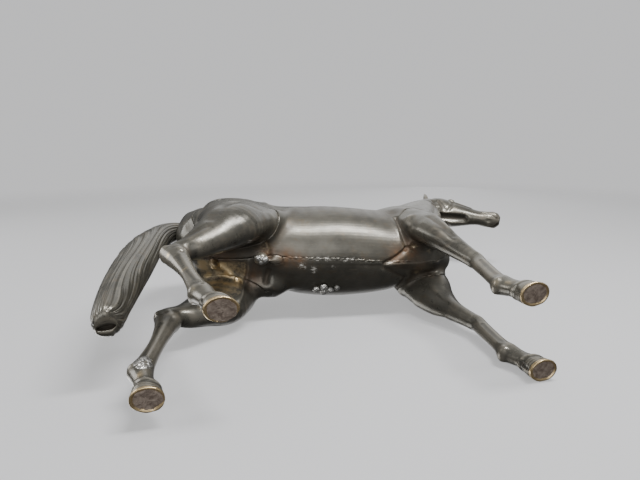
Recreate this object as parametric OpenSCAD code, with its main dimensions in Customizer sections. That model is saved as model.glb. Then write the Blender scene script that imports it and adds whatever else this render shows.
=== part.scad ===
// Bronze horse statue: a standing horse, hollow cast in sections that are welded together.
// +X points to the head, +Y to the horse's left, +Z up. The hooves stand on z = 0.
// Every casting is a loft: oval sections along a centre line, joined by a smooth curve.

/* [Castings] */
// Thickness of the cast bronze wall
wall = 3; // [2.4:0.1:3.4]
// Amount added to the half width of the barrel
barrel_fullness = 0; // [-5:1:5]
// Amount added to the half thickness of the tail hank
tail_fullness = 0; // [-3:1:4]

/* [Hooves] */
// Half length of a hoof's sole, toe to heel
hoof_half_length = 15.6; // [14:0.1:17]
// Half width of a hoof's sole
hoof_half_width = 12.9; // [12:0.1:14.5]
// How far the core plug sits up inside the bronze rim
plug_recess = 0.6; // [0.2:0.1:1.5]
// Height of the core plug
plug_height = 12; // [8:1:16]

/* [Joints] */
// How far a weld bead spreads from the joint it closes
bead = 1.6; // [1:0.1:2.2]
// How proud the long seams of the body stand
seam_proud = 0.5; // [0.3:0.1:1]
// Width of the long seams of the body
seam_width = 3.2; // [2:0.2:6]
// Diameter of the pin that holds the tail
pin_d = 8; // [6:0.5:9]

/* [Head] */
// Length of an ear
ear_length = 27; // [20:1:32]
// Width of the hollow between the jaw bones
jaw_gap = 17; // [12:1:20]

/* [Hidden] */

bronze = [0.24, 0.21, 0.18];
worn_bronze = [0.55, 0.42, 0.24];
solder_grey = [0.68, 0.68, 0.66];
core_brown = [0.35, 0.27, 0.22];
steel = [0.5, 0.5, 0.52];

// Sides of a section, and curve steps from one section to the next
body_sides = 28;
neck_sides = 20;
limb_sides = 16;
core_sides = 8;
neck_core_sides = 14;
round_sides = 24;
steps = 2;
big = 1000;
overrun = 2;

// A section is [x, y, z, direction of its front in the XZ plane, reach to the front,
// reach to the back, half width, how much narrower the front is than the back].
// The rows are laid out from the middle of the barrel. This is how far that is from the
// middle of the whole statue, which is the origin.
middle = [47, -1.5, 0];
module placed() translate(-middle) children();

// The body: the front of a section is up. The barrel hangs a little to the left of the seams.
barrel_lean = 4;
function body_row(x, top, bottom, half_width, narrowing) = let(reach = (top - bottom) / 2)
  [x, abs(x - 30) < 80 ? barrel_lean : 0, (top + bottom) / 2, 90, reach, reach, half_width, narrowing];
body_rows = [
  body_row(-214, 346, 320, 4, 0),
  body_row(-205, 378, 290, 27, 0),
  body_row(-188, 393, 262, 42, 0.04),
  body_row(-158, 403, 242, 54, 0.08),
  body_row(-118, 408, 235, 60, 0.12),
  body_row(-78, 404, 229, 58 + barrel_fullness / 2, 0.16),
  body_row(-38, 395, 222, 60 + barrel_fullness, 0.2),
  body_row(5, 388, 216, 62 + barrel_fullness, 0.22),
  body_row(50, 390, 212, 59 + barrel_fullness, 0.24),
  body_row(88, 402, 211, 54 + barrel_fullness / 2, 0.26),
  body_row(118, 409, 214, 51, 0.28),
  body_row(148, 402, 222, 49, 0.24),
  body_row(173, 380, 240, 41, 0.12),
  body_row(190, 350, 266, 29, 0),
  body_row(198, 320, 296, 5, 0)
];

// The neck: the front of a section is the crest, so each row goes from throat to crest.
function neck_row(throat_x, throat_z, crest_x, crest_z, half_width, narrowing) = let(
    dx = crest_x - throat_x,
    dz = crest_z - throat_z,
    reach = norm([dx, dz]) / 2
  ) [(throat_x + crest_x) / 2, 0, (throat_z + crest_z) / 2, atan2(dz, dx), reach, reach,
    half_width, narrowing];
neck_rows = [
  neck_row(170, 265, 82, 392, 43, 0.3),
  neck_row(190, 300, 112, 424, 39, 0.34),
  neck_row(215, 345, 142, 457, 34, 0.36),
  neck_row(236, 388, 176, 490, 29, 0.34),
  neck_row(253, 427, 208, 515, 26, 0.3),
  neck_row(266, 462, 242, 530, 22, 0.22),
  neck_row(278, 486, 265, 529, 16, 0.1)
];

// The head: the front of a section is the forehead and the bridge of the nose.
head_tilt = 51;
head_y = 1.5;
function head_row(x, z, up, down, half_width, narrowing) =
  [x, head_y, z, head_tilt, up, down, half_width, narrowing];
head_rows = [
  head_row(250, 518, 12, 20, 12, 0),
  head_row(258, 511, 23, 30, 21, 0),
  head_row(271, 499, 30, 38, 26, 0.05),
  head_row(288, 486, 31, 37, 26.5, 0.1),
  head_row(306, 472, 28, 30, 23, 0.12),
  head_row(323, 460, 23, 23, 18, 0.1),
  head_row(340, 448, 19, 18, 14.5, 0.1),
  head_row(354, 438, 18, 16, 14.5, 0.1),
  head_row(366, 429, 15, 13, 13.5, 0.05),
  head_row(372, 424, 8, 8, 8, 0)
];

// The legs: the front of a section is forward, and the rows go down to the sole.
function between(a, b, share) = a + (b - a) * share;
function row(at, turn, front, back, side) = [at.x, at.y, at.z, turn, front, back, side, 0];
function hoof_rows(fetlock, sole) = [
  row(fetlock, 4, 10.5, 12.5, 10.3),
  row(between(fetlock, sole, 0.42), 22, 8.8, 10, 9),
  row(between(fetlock, sole, 0.66), 16, 11.8, 12.2, 11),
  row(between(fetlock, sole, 0.84), 6, 13.8, 14, 12.2),
  row(sole, 0, hoof_half_length, hoof_half_length, hoof_half_width)
];
function hindleg_rows(stifle, hock, fetlock, sole) = let(
    out = sign(stifle.y),
    thigh = stifle + [-38, 0, 8]
  ) concat([
    row([thigh.x + 20, out * 34, thigh.z + 140], 0, 44, 46, 16),
    row([thigh.x + 10, out * 43, thigh.z + 95], -4, 54, 50, 24),
    row([thigh.x + 5, out * 48, thigh.z + 45], -10, 48, 47, 28),
    row(thigh, -22, 37, 38, 26),
    row(between(thigh, hock, 0.38), -38, 26, 27, 20),
    row(between(thigh, hock, 0.7), -42, 17.5, 19, 14.5),
    row(hock + [3, 0, 10], -28, 13.5, 17, 12),
    row(hock, -10, 15, 15.5, 12.3),
    row(between(hock, fetlock, 0.2), 0, 12, 11, 10.2),
    row(between(hock, fetlock, 0.5), 0, 9, 8.2, 8),
    row(between(hock, fetlock, 0.8), 0, 8.8, 10, 8.3)
  ], hoof_rows(fetlock, sole));
function foreleg_rows(elbow, knee, fetlock, sole) = let(out = sign(elbow.y)) concat([
    row(elbow + [14, -out * 16, 85], 0, 27, 34, 16),
    row(elbow + [10, -out * 8, 44], 0, 31, 36, 20),
    row(elbow + [4, -out * 2, 12], 0, 30 + out * 3, 28, 19),
    row(between(elbow, knee, 0.25), 0, 24.5 + out * 4.5, 20, 16.5),
    row(between(elbow, knee, 0.6), 0, 13.6, 14.6, 12.8),
    row(between(elbow, knee, 0.87), 0, 9.8, 11.8, 10.4),
    row(knee, 0, 8.6, 11, 9.6),
    row(between(knee, fetlock, 0.2), 0, 8.4, 10.6, 9),
    row(between(knee, fetlock, 0.5), 0, 8.4, 10, 8.4),
    row(between(knee, fetlock, 0.8), 0, 8.8, 10.2, 8.5)
  ], hoof_rows(fetlock, sole));

// Joints of each leg, as this horse stands: one pair of legs is a little in front of the other
hindleg_left_rows = hindleg_rows([-116, 53, 210], [-212, 38, 149], [-229, 38, 50], [-219, 36, 0]);
hindleg_right_rows = hindleg_rows([-102, -56, 203], [-201, -42, 144], [-172, -40, 47], [-156, -45, 0]);
foreleg_left_rows = foreleg_rows([130, 50, 212], [162.5, 48.5, 119], [157.5, 45.5, 46], [169, 41, 0]);
foreleg_right_rows = foreleg_rows([124, -48, 213], [147.5, -35.5, 118], [135.5, -36.5, 46], [141, -46, 0]);

// The tail: the front of a section faces the hocks, and the rows go down to the blunt end.
tail_rows = [
  row([-190, 0, 386], -62, 10, 10, 10),
  row([-213, -2, 374], -50, 13, 13, 13),
  row([-231, -4, 347], -34, 16, 16, 16),
  row([-244, -4, 308], -22, 19, 19, 19.5 + tail_fullness / 2),
  row([-254, -3, 264], -14, 24, 21, 22 + tail_fullness),
  row([-260, -1, 216], -8, 24.5, 21, 23 + tail_fullness),
  row([-263, 0, 168], -3, 22, 20, 22 + tail_fullness),
  row([-264, 1, 122], 0, 18, 18, 20 + tail_fullness),
  row([-264, 2, 90], 0, 15, 15, 18 + tail_fullness / 2),
  row([-264, 2, 80], 0, 10, 10, 13)
];
tail_pin_at = [-204, 0, 375];
tail_pin_lean = 36;
tail_pin_length = 34;
// How much of the pin is in the body, and where the tail's hollow starts
tail_pin_sunk = 16;
tail_hollow_from = 3;

// The hollow between the jaw bones, from the throat to the chin
jaw_throat = [248.4, head_y, 462];
jaw_chin = [299.5, head_y, 442.5];
jaw_taper = 0.6;

// The left ear: where it stands on the poll, how it leans, and the size of its root and cup
ear_at = [264, 13, 519];
ear_splay = 18;
ear_lean = 14;
ear_root = 8.5;
ear_cup = 7.5;
ear_tip = 1.2;
ear_set_in = 8;
ear_cup_at = [4.4, 0, 14];

// Under the belly: the sheath's two ends, the boss behind it and the repair solder
sheath_tip = [-99, -8, 224];
sheath_tip_r = 9.5;
sheath_base = [-80, -4, 230];
sheath_base_r = 7;
boss_at = [-160, 4, 222];
boss_r = 7;
boss_length = 30;
boss_bore_r = 3.5;
boss_bore_depth = 4;
sheath_solder_at = [-99, -9, 216];
sheath_solder_size = [7, 5, 3];
belly_solder_at = [-10, 42, 226];
belly_solder_size = [12, 8, 4];
fetlock_solder_at = [-229, 30, 50];
fetlock_solder_size = [5, 3, 7];

// The two long seams of the body: where each starts and ends, and its lowest and highest place
belly_seam_x = [-60, 150];
belly_seam_z = [200, 260];
back_seam_x = [-185, 75];
back_seam_z = [340, 420];

// Smooth curve through sections a, b, c, d: the stretch from b to c
function curve(a, b, c, d, t) = 0.5 * (2 * b + (c - a) * t + (2 * a - 5 * b + 4 * c - d) * t * t
  + (3 * b - a - 3 * c + d) * t * t * t);
function smooth_rows(rows) = let(last = len(rows) - 1) [
  for (k = [0:last * steps]) let(i = min(floor(k / steps), last - 1), t = k / steps - i)
    curve(rows[max(i - 1, 0)], rows[i], rows[i + 1], rows[min(i + 2, last)], t)
];
function ring(section, grow, sides) = [
  for (i = [0:sides - 1]) let(
    c = cos(360 * i / sides),
    s = sin(360 * i / sides),
    reach = max((c > 0 ? section[4] : section[5]) + grow, 1) * c,
    side = max(section[6] + grow, 1) * s * (1 - section[7] * c)
  ) [section.x + reach * cos(section[3]), section.y + side, section.z + reach * sin(section[3])]
];
function moved(section, by) = [section.x + by.x, section.y + by.y, section.z + by.z,
  section[3], section[4], section[5], section[6], section[7]];
function way(from, to) = let(d = [to.x - from.x, to.y - from.y, to.z - from.z]) d / norm(d);

// Solid through the rows, grown all round; its two ends move out by their own amounts
module loft(rows, grow = 0, start_out = 0, end_out = 0, sides = limb_sides) {
  s = smooth_rows(rows);
  last = len(s) - 1;
  ends = [
    moved(s[0], start_out * way(s[1], s[0])),
    moved(s[last], end_out * way(s[last - 1], s[last]))
  ];
  rings = [for (k = [0:last]) ring(k == 0 ? ends[0] : k == last ? ends[1] : s[k], grow, sides)];
  caps = [[for (i = [sides - 1:-1:0]) i], [for (i = [0:sides - 1]) last * sides + i]];
  walls = [
    for (k = [0:last - 1]) for (i = [0:sides - 1]) let(
      a = k * sides + i,
      d = k * sides + (i + 1) % sides
    ) each [[a, d, d + sides], [a, d + sides, a + sides]]
  ];
  polyhedron([for (r = rings) each r], concat(caps, walls), convexity = 8);
}

// Keeps a cut shape as one mesh, since every face of it is a facet of a loft
module as_cast() resize([0, 0, 0]) children();

module body_form(grow = 0) loft(body_rows, grow, grow, grow, body_sides);
module neck_form(grow = 0) loft(neck_rows, grow, overrun, overrun, neck_sides);
module head_form(grow = 0) loft(head_rows, grow, grow, grow, neck_sides);
module tail_form(grow = 0) loft(tail_rows, grow, grow, grow);

module body_half(out) color(bronze) as_cast() difference() {
  body_form();
  body_form(-wall);
  neck_form(-wall);
  pin_rod();
  translate([-big / 2, out > 0 ? -big : 0, -big / 2]) cube(big);
}

// A strip of the skin over the body's long seam, above or below the widest line
module body_seam(x, z) color(bronze) as_cast() difference() {
  intersection() {
    body_form(seam_proud);
    translate([x[0], -seam_width / 2, z[0]]) cube([x[1] - x[0], seam_width, z[1] - z[0]]);
  }
  body_form();
}

module neck_casting() color(bronze) as_cast() difference() {
  neck_form();
  loft(neck_rows, -wall, 2 * overrun, -2 * wall, neck_core_sides);
  body_form();
  head_form();
}

module neck_weld() color(bronze) as_cast() difference() {
  intersection() {
    body_form(bead);
    neck_form(bead);
  }
  body_form();
  neck_form();
}

module jaw_hollow() hull() {
  translate(jaw_throat) sphere(d = jaw_gap, $fn = limb_sides);
  translate(jaw_chin) sphere(d = jaw_gap * jaw_taper, $fn = limb_sides);
}

module head_casting() color(bronze) as_cast() difference() {
  head_form();
  loft(head_rows, -wall - 1, 2 * overrun, -3 * wall, core_sides);
  jaw_hollow();
}

module head_weld() color(bronze) as_cast() difference() {
  intersection() {
    head_form(bead);
    neck_form(bead);
  }
  head_form();
  neck_form();
}

// An ear: a leaf-shaped cup that opens forward, set on the poll
module ear_leaf(width) scale([0.55, 0.8, 1])
  cylinder(h = ear_length + ear_set_in, r1 = width, r2 = ear_tip, $fn = neck_sides);
module ear_cast() difference() {
  ear_leaf(ear_root);
  translate(ear_cup_at) scale([0.9, 0.7, 0.9]) ear_leaf(ear_cup);
}
module ear(out) color(bronze) as_cast() difference() {
  translate([ear_at.x, head_y + out * ear_at.y, ear_at.z])
    rotate([-out * ear_splay, ear_lean, 0]) ear_cast();
  head_form();
  neck_form();
}

module leg_casting(rows) color(bronze) as_cast() difference() {
  loft(rows);
  loft(rows, -wall, overrun, overrun, core_sides);
  body_form();
}

module leg_weld(rows) color(bronze) as_cast() difference() {
  intersection() {
    body_form(bead);
    loft(rows, bead);
  }
  body_form();
  loft(rows);
}

// The casting core left inside a hoof, seen as a plug inside the bronze rim
module hoof_plug(rows) color(core_brown) as_cast() intersection() {
  loft(rows, -wall, overrun, overrun, core_sides);
  translate([-big / 2, -big / 2, plug_recess]) cube([big, big, plug_height]);
}

module pin_rod() translate(tail_pin_at) rotate([0, -90 - tail_pin_lean, 0])
  translate([0, 0, -tail_pin_sunk]) cylinder(h = tail_pin_length, d = pin_d, $fn = round_sides);

module tail_casting() color(bronze) as_cast() difference() {
  tail_form();
  loft([for (k = [tail_hollow_from:len(tail_rows) - 1]) tail_rows[k]], -wall - 1, 0, 2 * overrun, core_sides);
  body_form();
  pin_rod();
}

module tail_weld() color(bronze) as_cast() difference() {
  intersection() {
    body_form(bead);
    tail_form(bead);
  }
  body_form();
  tail_form();
}

module tail_pin() color(steel) pin_rod();

// The sheath and the boss between the thighs
module sheath_form() hull() {
  translate(sheath_tip) scale([1.1, 0.9, 0.9]) sphere(r = sheath_tip_r, $fn = neck_sides);
  translate(sheath_base) scale([1.3, 0.8, 0.7]) sphere(r = sheath_base_r, $fn = neck_sides);
}
module sheath() color(bronze) as_cast() difference() {
  sheath_form();
  body_form();
}

module groin_boss() color(worn_bronze) as_cast() difference() {
  translate(boss_at) cylinder(h = boss_length, r = boss_r, $fn = body_sides);
  translate(boss_at - [0, 0, 1]) cylinder(h = boss_bore_depth + 1, r = boss_bore_r, $fn = round_sides);
  body_form();
  loft(hindleg_left_rows);
  loft(hindleg_right_rows);
}

module solder_blob(at, size) color(solder_grey) as_cast() difference() {
  translate(at) scale(size) sphere(r = 1, $fn = limb_sides);
  children();
}

module sheath_solder() solder_blob(sheath_solder_at, sheath_solder_size) sheath_form();
module belly_solder() solder_blob(belly_solder_at, belly_solder_size) body_form();
module fetlock_solder() solder_blob(fetlock_solder_at, fetlock_solder_size) loft(hindleg_left_rows);

placed() body_half(1);  // body_shell_left
placed() body_half(-1);  // body_shell_right
placed() body_seam(belly_seam_x, belly_seam_z);  // belly_seam_weld
placed() body_seam(back_seam_x, back_seam_z);  // back_seam_weld
placed() neck_casting();
placed() neck_weld();
placed() head_casting();
placed() head_weld();
placed() ear(1);  // ear_left
placed() ear(-1);  // ear_right
placed() leg_casting(foreleg_left_rows);  // foreleg_left
placed() leg_casting(foreleg_right_rows);  // foreleg_right
placed() leg_casting(hindleg_left_rows);  // hindleg_left
placed() leg_casting(hindleg_right_rows);  // hindleg_right
placed() leg_weld(foreleg_left_rows);  // foreleg_left_weld
placed() leg_weld(foreleg_right_rows);  // foreleg_right_weld
placed() leg_weld(hindleg_left_rows);  // hindleg_left_weld
placed() leg_weld(hindleg_right_rows);  // hindleg_right_weld
placed() hoof_plug(foreleg_left_rows);  // foreleg_left_plug
placed() hoof_plug(foreleg_right_rows);  // foreleg_right_plug
placed() hoof_plug(hindleg_left_rows);  // hindleg_left_plug
placed() hoof_plug(hindleg_right_rows);  // hindleg_right_plug
placed() tail_casting();
placed() tail_weld();
placed() tail_pin();
placed() sheath();
placed() groin_boss();
placed() sheath_solder();
placed() belly_solder();
placed() fetlock_solder();
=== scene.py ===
import math

import bpy
import numpy as np
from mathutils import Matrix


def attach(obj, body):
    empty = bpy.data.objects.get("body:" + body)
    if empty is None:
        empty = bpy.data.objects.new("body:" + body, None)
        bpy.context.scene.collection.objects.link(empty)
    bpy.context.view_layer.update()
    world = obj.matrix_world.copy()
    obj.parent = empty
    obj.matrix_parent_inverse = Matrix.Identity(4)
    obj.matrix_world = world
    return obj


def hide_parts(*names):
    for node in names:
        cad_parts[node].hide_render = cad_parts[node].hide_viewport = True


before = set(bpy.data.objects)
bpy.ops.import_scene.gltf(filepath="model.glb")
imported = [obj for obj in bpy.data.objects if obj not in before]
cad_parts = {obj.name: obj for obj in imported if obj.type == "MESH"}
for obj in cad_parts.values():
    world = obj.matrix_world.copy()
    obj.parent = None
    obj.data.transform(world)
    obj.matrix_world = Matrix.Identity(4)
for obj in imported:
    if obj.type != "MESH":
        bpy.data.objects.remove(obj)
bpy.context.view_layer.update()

import openvdb as vdb
from mathutils import Matrix, Vector

# ---------------------------------------------------------------------------
# The horse is laid out in millimetres from the middle of its barrel, as in the
# CAD source: +X to the head, +Y to its left, +Z up, hooves on z = 0. MIDDLE is
# the middle of the whole statue in that layout, which is the frame's origin.
# ---------------------------------------------------------------------------
MM = 0.001
MIDDLE = np.array([47.0, -1.5, 0.0])
HOOF_HALF_LENGTH = 15.6
HOOF_HALF_WIDTH = 12.9
RIGHT, LEFT = -1, 1


# ------------------------------ sections and lofts ------------------------------
# A row is [x, y, z, direction of the section's front in XZ, reach to the front,
# reach to the back, half width, how much narrower the front is than the back].
def body_row(x, top, bottom, half_width, narrowing):
    lean = 4 if abs(x - 30) < 80 else 0
    reach = (top - bottom) / 2
    return [x, lean, (top + bottom) / 2, 90, reach, reach, half_width, narrowing]


BODY_ROWS = [
    body_row(-214, 346, 320, 4, 0),
    body_row(-205, 378, 290, 27, 0),
    body_row(-188, 393, 262, 42, 0.04),
    body_row(-158, 403, 242, 54, 0.08),
    body_row(-118, 408, 235, 60, 0.12),
    body_row(-78, 404, 229, 58, 0.16),
    body_row(-38, 395, 222, 60, 0.2),
    body_row(5, 388, 216, 62, 0.22),
    body_row(50, 390, 212, 59, 0.24),
    body_row(88, 402, 211, 54, 0.26),
    body_row(118, 409, 214, 51, 0.28),
    body_row(148, 402, 222, 49, 0.24),
    body_row(173, 380, 240, 41, 0.12),
    body_row(190, 350, 266, 29, 0),
    body_row(198, 320, 296, 5, 0),
]


def neck_row(throat_x, throat_z, crest_x, crest_z, half_width, narrowing):
    dx, dz = crest_x - throat_x, crest_z - throat_z
    reach = math.hypot(dx, dz) / 2
    turn = math.degrees(math.atan2(dz, dx))
    middle_x, middle_z = (throat_x + crest_x) / 2, (throat_z + crest_z) / 2
    return [middle_x, 0, middle_z, turn, reach, reach, half_width, narrowing]


NECK_ROWS = [
    neck_row(170, 265, 82, 392, 43, 0.3),
    neck_row(190, 300, 112, 424, 39, 0.34),
    neck_row(215, 345, 142, 457, 34, 0.36),
    neck_row(236, 388, 176, 490, 29, 0.34),
    neck_row(253, 427, 208, 515, 26, 0.3),
    neck_row(266, 462, 242, 530, 22, 0.22),
    neck_row(278, 486, 265, 529, 16, 0.1),
]

HEAD_TILT = 51


def head_row(x, z, up, down, half_width, narrowing):
    return [x, 1.5, z, HEAD_TILT, up, down, half_width, narrowing]


HEAD_ROWS = [
    head_row(250, 518, 12, 20, 12, 0),
    head_row(258, 511, 23, 30, 21, 0),
    head_row(271, 499, 30, 38, 26, 0.05),
    head_row(288, 486, 31, 37, 26, 0.1),
    head_row(306, 472, 28, 30, 22.5, 0.12),
    head_row(323, 460, 23, 23, 17.5, 0.1),
    head_row(340, 448, 19, 18, 14, 0.1),
    head_row(354, 438, 18, 16, 14.5, 0.1),
    head_row(366, 429, 15, 13, 13.5, 0.05),
    head_row(372, 424, 8, 8, 8, 0),
]


def between(a, b, share):
    return [a[i] + (b[i] - a[i]) * share for i in range(3)]


def row(at, turn, front, back, side):
    return [at[0], at[1], at[2], turn, front, back, side, 0]


def offset(at, dx, dy, dz):
    return [at[0] + dx, at[1] + dy, at[2] + dz]


def hoof_rows(fetlock, sole):
    return [
        row(fetlock, 4, 10.5, 12.5, 10.3),
        row(between(fetlock, sole, 0.42), 22, 8.8, 10, 9),
        row(between(fetlock, sole, 0.66), 16, 11.8, 12.2, 11),
        row(between(fetlock, sole, 0.84), 6, 13.8, 14, 12.2),
        row(sole, 0, HOOF_HALF_LENGTH, HOOF_HALF_LENGTH, HOOF_HALF_WIDTH),
    ]


def hindleg_rows(stifle, hock, fetlock, sole):
    out = LEFT if stifle[1] > 0 else RIGHT
    thigh = offset(stifle, -38, 0, 8)
    return [
        row([thigh[0] + 20, out * 34, thigh[2] + 140], 0, 44, 46, 16),
        row([thigh[0] + 10, out * 43, thigh[2] + 95], -4, 54, 50, 24),
        row([thigh[0] + 5, out * 48, thigh[2] + 45], -10, 48, 47, 28),
        row(thigh, -22, 37, 38, 26),
        row(between(thigh, hock, 0.38), -38, 26, 27, 20),
        row(between(thigh, hock, 0.7), -42, 17.5, 19, 14.5),
        row(offset(hock, 3, 0, 10), -28, 13.5, 17, 12),
        row(hock, -10, 15, 15.5, 12.3),
        row(between(hock, fetlock, 0.2), 0, 12, 11, 10.2),
        row(between(hock, fetlock, 0.5), 0, 9, 8.2, 8),
        row(between(hock, fetlock, 0.8), 0, 8.8, 10, 8.3),
    ] + hoof_rows(fetlock, sole)


def foreleg_rows(elbow, knee, fetlock, sole):
    out = LEFT if elbow[1] > 0 else RIGHT
    return [
        row(offset(elbow, 14, -out * 16, 85), 0, 27, 34, 16),
        row(offset(elbow, 10, -out * 8, 44), 0, 31, 36, 20),
        row(offset(elbow, 4, -out * 2, 12), 0, 30 + out * 3, 28, 19),
        row(between(elbow, knee, 0.25), 0, 24.5 + out * 4.5, 20, 16.5),
        row(between(elbow, knee, 0.6), 0, 13.6, 14.6, 12.8),
        row(between(elbow, knee, 0.87), 0, 9.8, 11.8, 10.4),
        row(knee, 0, 8.6, 11, 9.6),
        row(between(knee, fetlock, 0.2), 0, 8.4, 10.6, 9),
        row(between(knee, fetlock, 0.5), 0, 8.4, 10, 8.4),
        row(between(knee, fetlock, 0.8), 0, 8.8, 10.2, 8.5),
    ] + hoof_rows(fetlock, sole)


# Joints of each leg: stifle or elbow, hock or knee, fetlock, sole
LEGS = {
    "hindleg_left": ([-116, 53, 210], [-212, 38, 149], [-229, 38, 50], [-219, 36, 0]),
    "hindleg_right": ([-102, -56, 203], [-201, -42, 144], [-172, -40, 47], [-156, -45, 0]),
    "foreleg_left": ([130, 50, 212], [162.5, 48.5, 119], [157.5, 45.5, 46], [169, 41, 0]),
    "foreleg_right": ([124, -48, 213], [147.5, -35.5, 118], [135.5, -36.5, 46], [141, -46, 0]),
}
LEG_ROWS = {
    name: (hindleg_rows if name.startswith("hind") else foreleg_rows)(*joints)
    for name, joints in LEGS.items()
}

TAIL_ROWS = [
    row([-190, 0, 386], -62, 10, 10, 10),
    row([-213, -2, 374], -50, 13, 13, 13),
    row([-231, -4, 347], -34, 16, 16, 16),
    row([-244, -4, 308], -22, 19, 19, 19.5),
    row([-254, -3, 264], -14, 24, 21, 22),
    row([-260, -1, 216], -8, 24.5, 21, 23),
    row([-263, 0, 168], -3, 22, 20, 22),
    row([-264, 1, 122], 0, 18, 18, 20),
    row([-264, 2, 90], 0, 15, 15, 18),
    row([-264, 2, 80], 0, 10, 10, 13),
]


def smooth_rows(rows, steps):
    """Catmull-Rom curve through the rows, all eight numbers at once."""
    rows = np.array(rows, float)
    padded = np.vstack([rows[:1], rows, rows[-1:]])
    out = []
    for i in range(len(rows) - 1):
        a, b, c, d = padded[i:i + 4]
        for t in np.arange(steps) / steps:
            out.append(0.5 * (2 * b + (c - a) * t + (2 * a - 5 * b + 4 * c - d) * t**2
                              + (3 * b - a - 3 * c + d) * t**3))
    out.append(rows[-1])
    return np.array(out)


def ring_points(sections, angle, grow):
    """Points at these angles round every section, as an array [section, angle, xyz]."""
    s = sections[:, None, :]
    c, n = np.cos(angle)[None, :], np.sin(angle)[None, :]
    reach = np.maximum(np.where(c > 0, s[..., 4], s[..., 5]) + grow, 1) * c
    side = np.maximum(s[..., 6] + grow, 1) * n * (1 - s[..., 7] * c)
    turn = np.radians(s[..., 3])
    return np.stack([s[..., 0] + reach * np.cos(turn), s[..., 1] + side,
                     s[..., 2] + reach * np.sin(turn)], axis=-1)


def tube_faces(rings, sides):
    """Triangles of a closed tube of rings, with a fan at each end."""
    k, i = np.meshgrid(np.arange(rings - 1), np.arange(sides), indexing="ij")
    a = (k * sides + i).ravel()
    d = (k * sides + (i + 1) % sides).ravel()
    walls = np.vstack([np.stack([a, a + sides, d + sides], 1), np.stack([a, d + sides, d], 1)])
    i = np.arange(sides)
    j = (i + 1) % sides
    start, end = rings * sides, rings * sides + 1
    last = (rings - 1) * sides
    caps = np.vstack([np.stack([i, j, np.full(sides, start)], 1),
                      np.stack([last + j, last + i, np.full(sides, end)], 1)])
    return np.vstack([walls, caps])


def loft(rows, grow=0.0, sides=72, steps=6):
    """Closed surface through the rows, as points and triangles."""
    sections = smooth_rows(rows, steps)
    points = ring_points(sections, np.arange(sides) * 2 * math.pi / sides, grow)
    ends = np.stack([points[0].mean(0), points[-1].mean(0)])
    return np.vstack([points.reshape(-1, 3), ends]), tube_faces(len(sections), sides)


# ------------------------------ the sculpting field ------------------------------
# Clay is a signed distance, in millimetres, on a box of voxels: less than nothing
# inside the bronze. Forms are joined by soft blends, then strokes raise or sink it.
BAND = 16.0


def soft_union(a, b, k):
    """a and b joined, with a fillet about k wide."""
    h = np.clip(k - np.abs(a - b), 0, None) / k
    return np.minimum(a, b) - h * h * k * 0.25


def soft_cut(a, b, k):
    """a with b taken out of it."""
    return -soft_union(-a, b, k)


def spline_2d(points, steps=8):
    """Smooth 2D line through a few points, for a stroke."""
    if len(points) < 2:
        return np.array(points, float)
    rows = [list(p) + [0] * (8 - len(p)) for p in points]
    return smooth_rows(rows, steps)[:, :len(points[0])]


def distance_to_line(u, v, line):
    """Distance from every (u, v) to the line."""
    best = np.full(np.broadcast(u, v).shape, 1e9)
    if len(line) == 1:
        return np.hypot(u - line[0][0], v - line[0][1])
    for i in range(len(line) - 1):
        a, b = line[i], line[i + 1]
        d = b - a
        t = np.clip(((u - a[0]) * d[0] + (v - a[1]) * d[1]) / max(d @ d, 1e-9), 0, 1)
        here = np.hypot(u - a[0] - t * d[0], v - a[1] - t * d[1])
        best = np.minimum(best, here)
    return best


def ramp(x, start, end):
    """Nothing up to start, one from end on, smooth between them."""
    t = np.clip((x - start) / (end - start), 0, 1)
    return t * t * (3 - 2 * t)


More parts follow.
